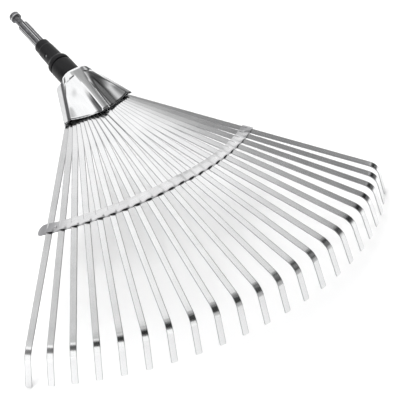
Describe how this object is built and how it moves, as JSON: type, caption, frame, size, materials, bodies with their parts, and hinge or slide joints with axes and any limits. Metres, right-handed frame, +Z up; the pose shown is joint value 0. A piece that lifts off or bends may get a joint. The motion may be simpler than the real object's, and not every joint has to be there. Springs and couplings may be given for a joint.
{
  "type": "leaf rake head",
  "caption": "Leaf rake head: fan of flat spring-steel tines held in a chromed hood, with a corrugated brace across the fan and a short tang that plugs into a handle.",
  "frame": {"origin": "on the tang's axis, in the end face of the black sleeve from which the tang comes out", "axes": "+Y along the tang away from the tines, +Z up out of the fan on the hood's ribbed side (the tine tips bend down), +X to the right when looking from above with the tang pointing away"},
  "size_m": [0.502, 0.5544, 0.1148],
  "materials": {
    "cast_alloy": "as cast, dull",
    "black_plastic": "satin",
    "hood_chrome": "bright",
    "spring_steel": "bright zinc plated",
    "brace_steel": "bright zinc plated",
    "zinc_plate": "zinc plated"
  },
  "bodies": {
    "head": {"tang": "cast_alloy", "handle_sleeve": "black_plastic", "collar_ring": "black_plastic", "cross_pin": "zinc_plate", "tang_washer": "zinc_plate", "tang_nut": "zinc_plate", "hood_top_shell": "hood_chrome", "hood_bottom_shell": "hood_chrome", "tine_root_plate": "zinc_plate", "tine_root_strap": "zinc_plate", "root_rivets": "zinc_plate"},
    "fan": {"tine_01": "spring_steel", "tine_02": "spring_steel", "tine_03": "spring_steel", "tine_04": "spring_steel", "tine_05": "spring_steel", "tine_06": "spring_steel", "tine_07": "spring_steel", "tine_08": "spring_steel", "tine_09": "spring_steel", "tine_10": "spring_steel", "tine_11": "spring_steel", "tine_12": "spring_steel", "tine_13": "spring_steel", "tine_14": "spring_steel", "tine_15": "spring_steel", "tine_16": "spring_steel", "tine_17": "spring_steel", "tine_18": "spring_steel", "tine_19": "spring_steel", "tine_20": "spring_steel", "tine_21": "spring_steel", "tine_22": "spring_steel", "brace_lower_strip": "brace_steel", "brace_upper_strip": "brace_steel", "brace_rivets": "zinc_plate"}
  },
  "joints": [
    {"name": "fan_flex", "type": "hinge", "parent": "head", "child": "fan", "pos_m": [0, -0.138, 0], "axis": [-1, 0, 0], "range_deg": [-4, 6], "stiffness_Nm_per_rad": 26, "deforming": ["tine_01", "tine_02", "tine_03", "tine_04", "tine_05", "tine_06", "tine_07", "tine_08", "tine_09", "tine_10", "tine_11", "tine_12", "tine_13", "tine_14", "tine_15", "tine_16", "tine_17", "tine_18", "tine_19", "tine_20", "tine_21", "tine_22"]}
  ]
}
